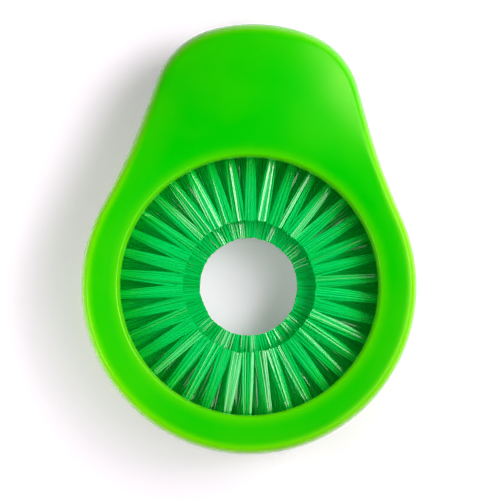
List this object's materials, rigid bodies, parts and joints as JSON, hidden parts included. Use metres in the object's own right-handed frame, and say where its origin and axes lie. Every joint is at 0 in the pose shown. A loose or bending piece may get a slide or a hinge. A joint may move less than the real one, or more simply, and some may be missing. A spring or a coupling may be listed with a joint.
{
  "type": "vegetable brush",
  "caption": "Pear-shaped hand-held vegetable brush with a ring of bristles pointing inwards round an open middle.",
  "frame": {"origin": "on the face that the rear cover rests on, under the middle of the whole part's outline", "axes": "+Z out of the front face along the axis of the bristle ring, +Y from the ring towards the end of the handle, +X to the right when the front is looked at with the handle up"},
  "size_m": [0.0846, 0.109, 0.028],
  "materials": {
    "body": "glossy moulded lime-green plastic, slightly translucent at its edges",
    "strip": "moulded plastic, semi-gloss",
    "bristle": "glossy drawn nylon filament, slightly translucent",
    "anchor": "bright flat wire"
  },
  "bodies": {
    "root": {"front_cover": "body", "rear_cover": "body", "carrier_strip": "strip", "front_row_anchors": "anchor", "middle_row_anchors": "anchor", "rear_row_anchors": "anchor", "bristle_sector_01": "bristle", "bristle_sector_02": "bristle", "bristle_sector_03": "bristle", "bristle_sector_04": "bristle", "bristle_sector_05": "bristle", "bristle_sector_06": "bristle", "bristle_sector_07": "bristle", "bristle_sector_08": "bristle", "bristle_sector_09": "bristle", "bristle_sector_10": "bristle", "bristle_sector_11": "bristle", "bristle_sector_12": "bristle", "bristle_sector_13": "bristle", "bristle_sector_14": "bristle", "bristle_sector_15": "bristle", "bristle_sector_16": "bristle", "bristle_sector_17": "bristle", "bristle_sector_18": "bristle", "bristle_sector_19": "bristle"}
  },
  "joints": []
}
